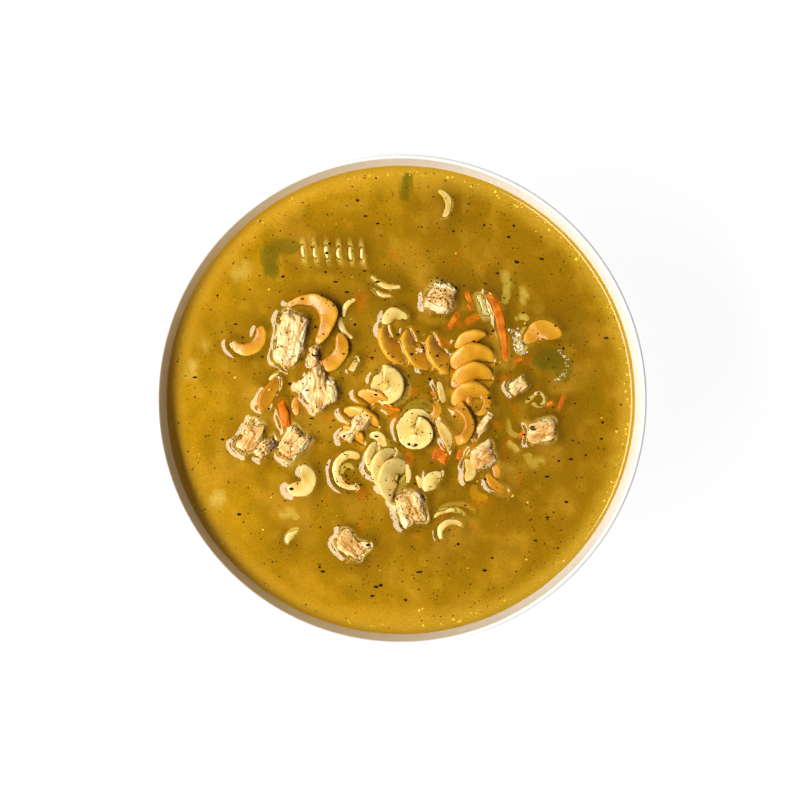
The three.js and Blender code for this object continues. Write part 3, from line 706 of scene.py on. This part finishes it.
# ----------------------------------------
# Onion and celery. One pale, glassy piece of onion at the surface, and three slices of celery
# boiled to a dark olive, which hang just under it.
onion, _ = patchy("boiled onion", [
    (0.3, tone(196, 166, 70)), (0.6, tone(224, 204, 128)), (0.8, tone(238, 224, 164)),
], 420, 2200, 0.00006, roughness=0.3, coat=0.7, subsurface=0.4, reach=0.0015)
vegetable_piece("onion_piece_boiled", diced([10, 4.4, 3.8], rough=0.3, seed=59, torn=0.15), (-72, 0, 0),
                onion, "onion", (210, 184, 96), node="onion_piece")

celery, _ = patchy("boiled celery", [
    (0.3, tone(70, 62, 6)), (0.55, tone(98, 86, 10)), (0.75, tone(122, 106, 22)),
], 420, 2200, 0.0001, roughness=0.35, coat=0.6, subsurface=0.15, reach=0.0015)
seen_celery = (92, 82, 4)
vegetable_piece("celery_right", wound_blade(7.2, 1.0, -70, 150, thickness=3.2, pitch=1.0, tip=0.8, seed=81),
                (20, 0, 0), celery, "celery", seen_celery, middle=(47.4, 10.8, -1.75))
vegetable_piece("celery_far", wound_blade(7.6, 2.0, 30, 250, thickness=3.0, pitch=1.0, tip=0.8, seed=82),
                (0, 0, 0), celery, "celery", seen_celery, middle=(-37.6, 44.4, -1.8))
vegetable_piece("celery_edge", strip([(0, -4, 0), (0.6, 0, 0), (1.6, 4, 0)], [3, 4, 2.6], thickness=2.4,
                seed=83), (0, 0, 0), celery, "celery", seen_celery, middle=(1.7, 67.0, -1.5))

# ----------------------------------------
# Noodles and crumbs that only show through the broth or just touch its surface, as smaller
# blades of the same pasta. Middles are given over the level of the broth.


def sunk_blade(name, orange, middle, *sizes, turn=(0, 0, 0), **more):
    noodle(None, wound_blade(*sizes, seed=len(in_the_soup), **more), turn, orange, middle, "noodle_" + name)


def sunk_strip(name, orange, middle, route, widths, turn=(0, 0, 0), **more):
    noodle(None, strip(route, widths, seed=len(in_the_soup), **more), turn, orange, middle, "noodle_" + name)


sunk_blade("tall_loop", True, (25.2, -1.4, 0.3), 4.6, 2.2, -110, 70, pitch=1.6, tip=0.6)
sunk_blade("keel_under", False, (-35.2, -35.8, -1.6), 4.6, 1.6, 20, 160, pitch=1)
sunk_blade("arch_faint", False, (17.6, -33.4, -1.7), 10.4, 9.0, 48, 122, pitch=1, thickness=1.4)
sunk_blade("lobe_small", True, (10.4, -0.3, -0.3), 1.6, 0.3, -90, 90, pitch=0.6, thickness=1.6)
sunk_blade("right_high", False, (37.8, 26.0, -0.9), 2.6, 0.4, 0, 180, pitch=0.5)
sunk_strip("right_far", False, (33.0, 35.0, -1.5), [(0, -5, 0), (1, 0, 0), (0, 5, 0)], [2, 3, 2])
sunk_strip("right_near", False, (38.4, 32.8, -1.5), [(0, -3, 0), (0.8, 0, 0), (0, 3, 0)], [2, 3, 2])
sunk_blade("right_hook", False, (35.8, -8.6, -1.3), 4.4, 2.6, 130, 300, pitch=0.6, thickness=1.6)
sunk_strip("right_hook_end", False, (35.4, -14.8, -1.3), [(-2, 2, 0), (0, 0, 0), (2, -2, 0)],
           [1.6, 2, 1.2])
sunk_blade("low_under", True, (24.4, -29.0, -1.3), 4.2, 1.2, 150, 300, pitch=0.6)
sunk_blade("ring_spur", False, (-16.8, -21.4, -0.7), 2.6, 1.0, 20, 200, pitch=0.6, thickness=1.6)
sunk_blade("ring_fan", False, (-9.0, -20.6, -0.8), 3.0, 0.4, 60, 240, pitch=0.6, thickness=1.8)
sunk_strip("middle_curl", False, (-7.0, -12.6, 0.1), [(-3, 2.2, 0), (0.4, 1.4, 0.6), (2.6, -2.4, 0)],
           [2, 3.2, 1.8])
sunk_strip("sliver_left", False, (2.2, -22.8, -0.2), [(0, 3.4, 0), (0.8, 0, 0.3), (0.4, -3.4, 0)],
           [1.2, 2.2, 1.2])
sunk_strip("sliver_right", False, (5.8, -25.6, -0.3), [(-0.6, 2.2, 0), (0.6, 0, 0.2), (0.8, -2.2, 0)],
           [1.2, 2, 1.2])
sunk_blade("small_ring", False, (43.2, 0.2, -0.4), 2.6, 1.3, -150, 130, pitch=0.6, thickness=1.5,
           tip=0.9)
sunk_strip("small_strand", False, (40.6, 0.6, -0.6), [(-1.6, -1.2, 0), (0, 0, 0), (1.6, 1.6, 0)],
           [0.8, 1.2, 0.8], thickness=1.2)
sunk_strip("wet_patch", False, (38.2, 18.4, -1.2), [(-1.6, -4.4, 0), (0.6, 0, 0.2), (1.4, 4.4, 0)],
           [2.4, 4.4, 2.2])
sunk_blade("sunk_yellow", False, (41.8, -18.8, -1.5), 4.4, 0.8, 180, 340, pitch=0.6)
chicken(None, [2.2, 1.8, 1.6], (20, 0, 0), middle=(5.6, 15.6, 1.9), name="chicken_crumb", seed=91, cell=0.2)
chicken(None, [8, 6.4, 4], (30, 0, 0), middle=(-50, 40, -3.6), name="chicken_under_far", seed=92)
chicken(None, [8.4, 4.4, 4], (80, 0, 0), middle=(-65.6, 9.4, -3.4), name="chicken_under_left", seed=93)
chicken(None, [4.4, 4, 3.4], (10, 0, 0), middle=(-61.8, 17, -3.2), name="chicken_under_small", seed=94)
chicken(None, [6.2, 5, 4], (60, 0, 0), middle=(-57.3, -31.2, -3.4), name="chicken_under_near", seed=95)

# ----------------------------------------
# Broth. Golden, cloudy stock that creeps up a little at the wall and round everything that
# floats. Its surface is one fine mesh, painted by what lies close under it and with painted
# shade and light, over a plain body.
fine_cell = 0.33
coarse_every = 3
near_reach = 3.4
creep_height = 1.5
creep_reach = 1.6
wall_radius = broth_high.x * 1000 + 0.3
surface_radius = wall_radius + 0.7


def merged(parts):
    """One search tree over many pieces, and the part that each of its faces belongs to."""
    points, faces, owner = [], [], []
    for number, (part_points, part_faces) in enumerate(parts):
        start = len(points)
        points += np.asarray(part_points).tolist()
        faces += [tuple(start + i for i in face) for face in part_faces]
        owner += [number] * len(part_faces)
    return BVHTree.FromPolygons(points, faces), owner


afloat = [part for part in in_the_soup if part[0][:, 2].max() > level + 0.15]
above_faces = [
    (points, [face for face in faces if max(points[i, 2] for i in face) > level - 0.05])
    for points, faces, _ in afloat
]
shore, shore_owner = merged(above_faces)
rise = np.array([min(creep_height, 0.9 * (points[:, 2].max() - level)) for points, _, _ in afloat])
everything, everything_owner = merged([(points, faces) for points, faces, _ in in_the_soup])
seen_colours = np.array([colour for _, _, colour in in_the_soup], float)

count = int(2 * surface_radius / fine_cell / 2)
steps = np.arange(-count, count + 1)
flat = []
for i in steps:
    for j in steps:
        x = (i + 0.5 * (j % 2)) * fine_cell
        y = j * fine_cell * 0.866
        radius = math.hypot(x, y)
        if radius > wall_radius - 2.6:
            continue
        if i % coarse_every == 0 and j % (2 * coarse_every) == 0:
            flat.append((x, y))
            continue
        found = shore.find_nearest(Vector((x, y, level)), near_reach)
        if found[0] is not None:
            flat.append((x, y))
around_wall = 540
for inset in np.concatenate([np.arange(2.6, 0.6, -0.3), np.arange(0.6, -0.8, -0.17)]):
    angle = np.linspace(0, 2 * math.pi, around_wall, endpoint=False)
    flat += list(zip((wall_radius - inset) * np.cos(angle), (wall_radius - inset) * np.sin(angle)))
flat = np.array(flat)
flat_points, _, flat_faces = delaunay_2d_cdt([Vector(p) for p in flat], [], [], 0, 0.0001)[:3]
flat = np.array([tuple(p) for p in flat_points])
radii = np.hypot(flat[:, 0], flat[:, 1])

height = np.zeros(len(flat))
nearest = np.full(len(flat), 30.0)
shade = np.zeros((len(flat), 4))
down = Vector((0, 0, -1))
for number, (x, y) in enumerate(flat):
    start = Vector((x, y, level))
    place, _, face, distance = shore.find_nearest(start, 12)
    if place is not None:
        nearest[number] = distance
        height[number] = rise[shore_owner[face]] * math.exp(-distance / creep_reach)
    over = shore.ray_cast(Vector((x, y, level + 12)), down, 12)
    if over[0] is not None:
        height[number] = min(height[number], over[0].z - level - 0.12)
        nearest[number] = 0
    under = everything.ray_cast(Vector((x, y, level + 0.02)), down, 9)
    if under[0] is not None and over[0] is None:
        shade[number, :3] = seen_colours[everything_owner[under[2]]]
        shade[number, 3] = math.exp(-under[3] / 1.5)
ends = np.array([(face[i], face[i - 1]) for face in flat_faces for i in range(3)])
neighbours = np.bincount(ends.ravel(), minlength=len(flat))
for _ in range(4):
    total = np.bincount(ends[:, 0], height[ends[:, 1]], len(flat))
    total += np.bincount(ends[:, 1], height[ends[:, 0]], len(flat))
    height = total / neighbours.clip(1)
height += 0.8 * np.exp(-(wall_radius - radii).clip(-0.4) / 1.0)


def eased(value, start, end):
    part = ((value - start) / (end - start)).clip(0, 1)
    return part * part * (3 - 2 * part)


def mixed(colour, other, amount):
    return colour + (np.asarray(other, float) - colour) * amount[:, None]


spread = np.column_stack([flat, np.zeros(len(flat))])
haze = np.array([noise.noise(Vector(p) / 13 + Vector((3, 8, 0))) for p in spread])
clouds = np.array([noise.noise(Vector(p) / 4.5 + Vector((9, 2, 5))) for p in spread])
tint = np.tile([172.0, 126.0, 4.0], (len(flat), 1))
# Painted shade: the broth darker towards the right, away from the light.
tint = mixed(tint, (148, 106, 0), eased(flat[:, 0], -50, 55))
# Painted shade round and under everything that floats, deepest close to it.
tint = mixed(tint, (118, 82, 0), 0.85 * np.exp(-nearest / 6))
tint = mixed(tint, (186, 136, 34), 0.5 * eased(haze, 0.0, 0.45))
tint = mixed(tint, (126, 98, 0), 0.3 * eased(clouds, 0.05, 0.5))
tint = mixed(tint, (196, 152, 40), 0.3 * eased(-clouds, 0.1, 0.5))
carrot_oil = np.array([noise.noise(Vector(p) / 5 + Vector((1, 4, 9))) for p in spread])
tint = mixed(tint, (206, 104, 2), 0.55 * eased(carrot_oil, 0.28, 0.6) * np.exp(-(radii / 48) ** 4))
# A paler ring along the wall, brighter on the left as painted light where the wall's shadow falls, and darker
# towards the right as painted shade.
side_light = (flat[:, 1] * 0.1 + flat[:, 0]) / wall_radius
pale_rim_and_painted_light = mixed(np.tile([240.0, 180.0, 40.0], (len(flat), 1)), (182, 142, 34), eased(side_light, -1.0, 0.6))
tint = tint + (pale_rim_and_painted_light - tint) * (0.85 * eased(radii, wall_radius - 6.5, wall_radius - 1.5))[:, None]
tint = tint + (shade[:, :3] - tint) * (0.85 * shade[:, 3])[:, None]
linear = np.where(tint / 255 < 0.04, tint / 255 / 12.92, ((tint / 255 + 0.055) / 1.055) ** 2.4)

# The body of the broth under its surface, from the surface's outer edge down along the wall.
surface_points = np.column_stack([flat, level + height])
rim_order = np.argsort(np.arctan2(flat[:, 1], flat[:, 0]))
rim_order = rim_order[radii[rim_order] > radii.max() - 0.02]
under_wall = [(r, z) for r, z in inner_wall[::-4] if z < level - 1.5]
under_points = [surface_points]
under_faces = [tuple(face) for face in flat_faces]
last_ring = list(rim_order)
for radius, depth in under_wall:
    angle = np.arctan2(flat[rim_order, 1], flat[rim_order, 0])
    start = sum(len(part) for part in under_points)
    under_points.append(np.column_stack([
        (radius - 0.3) * np.cos(angle), (radius - 0.3) * np.sin(angle), np.full(len(angle), depth + 0.25),
    ]))
    ring = list(range(start, start + len(angle)))
    for j in range(len(ring)):
        k = (j + 1) % len(ring)
        under_faces.append((last_ring[j], ring[j], ring[k], last_ring[k]))
    last_ring = ring
bottom = sum(len(part) for part in under_points)
under_points.append([[0, 0, floor_top + 0.3]])
under_faces += [(last_ring[j], bottom, last_ring[(j + 1) % len(last_ring)]) for j in range(len(last_ring))]
broth_points = np.vstack(under_points)
body_tint = np.tile(tone(170, 128, 14), (len(broth_points), 1))
body_tint[:len(linear), :3] = linear

stock, stock_shader = finish("golden stock", roughness=0.05, coat=0.0, ior=1.45)
stock_shader.inputs["Specular Tint"].default_value = (1.0, 0.92, 0.74, 1)
painted = node_of(stock, "ShaderNodeAttribute")
painted.attribute_name = "tint"
stock_marks = mottled(stock, None, 700, 2400)
flecked = node_of(stock, "ShaderNodeMix")
flecked.data_type = "RGBA"
flecked.blend_type = "OVERLAY"
flecked.inputs[0].default_value = 0.34
links(stock).new(painted.outputs["Color"], flecked.inputs[6])
links(stock).new(ramp(stock, stock_marks.outputs["Grain"], [
    (0.36, (0.34, 0.34, 0.34, 1)), (0.5, (0.5, 0.5, 0.5, 1)), (0.68, (0.72, 0.72, 0.7, 1)),
]), flecked.inputs[7])
links(stock).new(flecked.outputs[2], stock_shader.inputs["Base Color"])
relief(stock, stock_shader, stock_marks.outputs["Patches"], 0.00002)
shaped("broth_surface", broth_points, under_faces, stock, node="broth", slot="broth",
       values={"tint": body_tint})

# ----------------------------------------
# Pepper, herb, froth and fat. Ground pepper and dried herb cling to the food and float on the
# broth, a patch of small froth bubbles stands on it, and the fat lies on it in flat drops.


full_turn = 6.28


def strewn_tree():
    """Puts a small ball, flattened as asked, on every point, in the point's own size."""
    tree = bpy.data.node_groups.new("strewn grains", "GeometryNodeTree")
    tree.is_modifier = True
    for name, kind in (("Geometry", "Geometry"), ("Flatness", "Vector"), ("Tumble", "Float"),
                       ("Roundness", "Int"), ("Seed", "Int"), ("Finish", "Material")):
        tree.interface.new_socket(name, in_out="INPUT", socket_type="NodeSocket" + kind)
    tree.interface.new_socket("Geometry", in_out="OUTPUT", socket_type="NodeSocketGeometry")
    start, end, grain, flat_grain, tumble, turned_by, size, place, real, paint = [
        tree.nodes.new(kind) for kind in (
            "NodeGroupInput", "NodeGroupOutput", "GeometryNodeMeshIcoSphere", "GeometryNodeTransform",
            "FunctionNodeRandomValue", "ShaderNodeVectorMath", "GeometryNodeInputNamedAttribute",
            "GeometryNodeInstanceOnPoints", "GeometryNodeRealizeInstances", "GeometryNodeSetMaterial",
        )
    ]
    grain.inputs["Radius"].default_value = 1.0
    tumble.data_type = "FLOAT_VECTOR"
    tumble.inputs["Min"].default_value = (0, 0, 0)
    tumble.inputs["Max"].default_value = (full_turn, full_turn, full_turn)
    turned_by.operation = "SCALE"
    size.data_type = "FLOAT_VECTOR"
    size.inputs["Name"].default_value = "size"
    for source, out, target, socket in (
        (start, "Roundness", grain, "Subdivisions"), (grain, "Mesh", flat_grain, "Geometry"),
        (start, "Flatness", flat_grain, "Scale"), (start, "Seed", tumble, "Seed"),
        (tumble, "Value", turned_by, "Vector"), (start, "Tumble", turned_by, "Scale"),
        (start, "Geometry", place, "Points"), (flat_grain, "Geometry", place, "Instance"),
        (turned_by, "Vector", place, "Rotation"), (size, "Attribute", place, "Scale"),
        (place, "Instances", real, "Geometry"), (real, "Geometry", paint, "Geometry"),
        (start, "Finish", paint, "Material"), (paint, "Geometry", end, "Geometry"),
    ):
        tree.links.new(source.outputs[out], target.inputs[socket])
    return tree


strewn = strewn_tree()


def strew(name, places, sizes, material, flatness, tumble, roundness, seed):
    """A plain mesh of grains on places in millimetres, each with its own size."""
    dots = bpy.data.meshes.new(name)
    dots.from_pydata((np.asarray(places) / 1000).tolist(), [], [])
    layer = dots.attributes.new("size", "FLOAT_VECTOR", "POINT")
    layer.data.foreach_set("vector", (np.asarray(sizes) / 1000).astype(np.float32).ravel())
    holder = bpy.data.objects.new(name, dots)
    bpy.context.scene.collection.objects.link(holder)
    modifier = holder.modifiers.new("strewn", "NODES")
    modifier.node_group = strewn
    for item in strewn.interface.items_tree:
        if item.item_type == "SOCKET" and item.in_out == "INPUT" and item.name != "Geometry":
            modifier[item.identifier] = {
                "Flatness": flatness, "Tumble": tumble, "Roundness": roundness, "Seed": seed,
                "Finish": material,
            }[item.name]
    seen = holder.evaluated_get(bpy.context.evaluated_depsgraph_get())
    plain = bpy.data.meshes.new_from_object(seen)
    plain.name = name
    holder.modifiers.remove(modifier)
    holder.data = plain
    bpy.data.meshes.remove(dots)
    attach(holder, "root")
    return holder


soup_top, _ = merged([(points, faces) for points, faces, _ in in_the_soup]
                     + [(broth_points, under_faces[:len(flat_faces)])])
chance = np.random.default_rng(12)


def on_top(x, y):
    """The point of the soup's visible top at a place in plan."""
    hit = soup_top.ray_cast(Vector((x, y, level + 15)), down, 30)[0]
    return (x, y, hit.z if hit is not None else level)


def random_places(number, reach, thicker_in_middle=0.5):
    """Places in plan within a radius, closer together towards the middle as asked."""
    power = 0.5 + thicker_in_middle * 0.25
    radius = reach * chance.random(number) ** power
    angle = chance.random(number) * 2 * math.pi
    return [on_top(r * math.cos(a), r * math.sin(a)) for r, a in zip(radius, angle)]


ground_pepper, pepper_shader = patchy("ground black pepper", [
    (0.35, tone(24, 12, 6)), (0.55, tone(52, 28, 10)), (0.72, tone(104, 62, 20)),
], 900, 3000, roughness=0.95)
pepper_shader.inputs["Specular IOR Level"].default_value = 0.1
pepper_places = random_places(1100, wall_radius - 0.8)
for node, reach, number in (("chicken_peppered", 5, 90), ("chicken_charred", 3.5, 60),
                            ("chicken_long", 7, 30),
                            ("chicken_flake", 3, 26), ("chicken_strip", 4.5, 26), ("leaf_pale_ring", 4.5, 40),
                            ("chicken_wedge", 4, 12), ("rotini_pale_upright", 5, 8)):
    low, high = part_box(node)
    for _ in range(number):
        pepper_places.append(on_top((low.x + high.x) * 500 + chance.normal(0, reach / 2),
                                    (low.y + high.y) * 500 + chance.normal(0, reach / 2)))
pepper_sizes = 0.12 + 0.34 * chance.random((len(pepper_places), 3)) ** 2.0
strew("pepper_ground", pepper_places, pepper_sizes, ground_pepper, (1, 1, 0.7), 1.0, 1, 3)
flake_places = random_places(80, wall_radius - 4)
flake_sizes = np.column_stack([0.35 + 0.5 * chance.random(80), 0.25 + 0.25 * chance.random(80),
                               0.14 + 0.05 * chance.random(80)])
strew("pepper_flakes", flake_places, flake_sizes, ground_pepper, (1, 1, 1), 0.0, 2, 4)

dried_herb, _ = patchy("dried herb", [(0.35, tone(44, 34, 4)), (0.6, tone(84, 66, 10))],
                       900, 3000, roughness=0.7)
herb_places = [on_top(41.2, -8.8)] + random_places(40, wall_radius - 6)
herb_sizes = np.vstack([[1.2, 0.8, 0.25], np.column_stack([
    0.25 + 0.4 * chance.random(40), 0.18 + 0.2 * chance.random(40), np.full(40, 0.12)])])
strew("herb_dried", herb_places, herb_sizes, dried_herb, (1, 1, 1), 0.0, 2, 5)

# Froth: small clear bubbles clinging together beside a noodle and round the right-hand celery. Their pale
# colour is partly the froth's own and partly a painted highlight, standing in for the glints on them.
froth_with_painted_glints, _ = patchy("froth_with_painted_glints", [(0.35, tone(158, 126, 40)), (0.6, tone(228, 214, 176))],
                  900, 2500, roughness=0.08, coat=0.6, coat_roughness=0.05)
froth_places = [on_top(35.0 + 2.8 * share + chance.normal(0, 0.8), 22.4 - 7.8 * share)
                for share in chance.random(60)]
for angle in np.radians(chance.uniform(-70, 60, 44)):
    froth_places.append(on_top(45.8 + 6.2 * math.cos(angle) + chance.normal(0, 0.5),
                               11.0 + 5.4 * math.sin(angle)))
froth_wide = np.append(0.2 + 0.34 * chance.random(60), 0.12 + 0.14 * chance.random(44))
strew("froth_bubbles", froth_places, np.repeat(froth_wide[:, None], 3, 1), froth_with_painted_glints,
      (1, 1, 0.55), 0.0, 3, 7)

chicken_fat, _ = patchy("chicken fat", [(0.3, tone(226, 186, 20)), (0.7, tone(240, 206, 50))],
                        500, 2500, roughness=0.05, coat=0.6, coat_roughness=0.03, ior=1.47)
fat_angle = chance.random(260) * 2 * math.pi
fat_radius = wall_radius - 0.9 - 1.7 * chance.random(260) ** 1.5
fat_rim = [(r * math.cos(a), r * math.sin(a)) for r, a in zip(fat_radius, fat_angle)]
fat_places = np.array([on_top(x, y) for x, y in fat_rim] + random_places(70, wall_radius - 4, 0.0))
fat_wide = 0.13 + 0.36 * chance.random(len(fat_places)) ** 3.5
fat_sizes = np.column_stack([fat_wide, fat_wide, fat_wide * 0.28])
strew("fat_drops", fat_places, fat_sizes, chicken_fat, (1, 1, 1), 0.0, 3, 6)

# ----------------------------------------
# Studio. A pale floor that glows a little, one large soft light low on the left, a weak fill
# from all round, and a camera straight above the bowl.
floor_mesh = bpy.data.meshes.new("floor")
floor_mesh.from_pydata([(-3, -3, 0), (3, -3, 0), (3, 3, 0), (-3, 3, 0)], [], [(0, 1, 2, 3)])
floor = bpy.data.objects.new("floor", floor_mesh)
bpy.context.scene.collection.objects.link(floor)
pale, pale_shader = patchy("pale floor", [(0.4, (0.10, 0.10, 0.10, 1)), (0.6, (0.11, 0.11, 0.11, 1))],
                           3, 200, roughness=0.9)
pale_shader.inputs["Emission Color"].default_value = (1, 1, 1, 1)
pale_shader.inputs["Emission Strength"].default_value = 0.93
floor_mesh.materials.append(pale)


def soft_light(name, azimuth, elevation, distance, size, power, colour):
    """A rectangular light at a heading and height, turned to the middle of the soup."""
    lamp = bpy.data.lights.new(name, "AREA")
    lamp.shape = "RECTANGLE"
    lamp.size, lamp.size_y = size
    lamp.energy = power
    lamp.color = colour
    holder = bpy.data.objects.new(name, lamp)
    a, e = math.radians(azimuth), math.radians(elevation)
    toward = Vector((math.cos(a) * math.cos(e), math.sin(a) * math.cos(e), math.sin(e)))
    holder.location = toward * distance + Vector((0, 0, level / 1000))
    holder.rotation_euler = toward.to_track_quat("Z", "Y").to_euler()
    bpy.context.scene.collection.objects.link(holder)


soft_light("window", 194, 52, 0.66, (0.85, 0.2), 8.2, (1.0, 0.985, 0.965))

world = bpy.data.worlds.new("soft fill")
bpy.context.scene.world = world
world.use_nodes = True
world.node_tree.nodes["Background"].inputs["Color"].default_value = (1.0, 0.98, 0.95, 1)
world.node_tree.nodes["Background"].inputs["Strength"].default_value = 0.14
bpy.context.scene.view_settings.view_transform = "Standard"

camera = bpy.data.cameras.new("camera")
camera.lens = 101.96
camera.sensor_width = 36
viewpoint = bpy.data.objects.new("camera", camera)
viewpoint.location = (-0.00031, 0, 0.76)
bpy.context.scene.collection.objects.link(viewpoint)
bpy.context.scene.camera = viewpoint
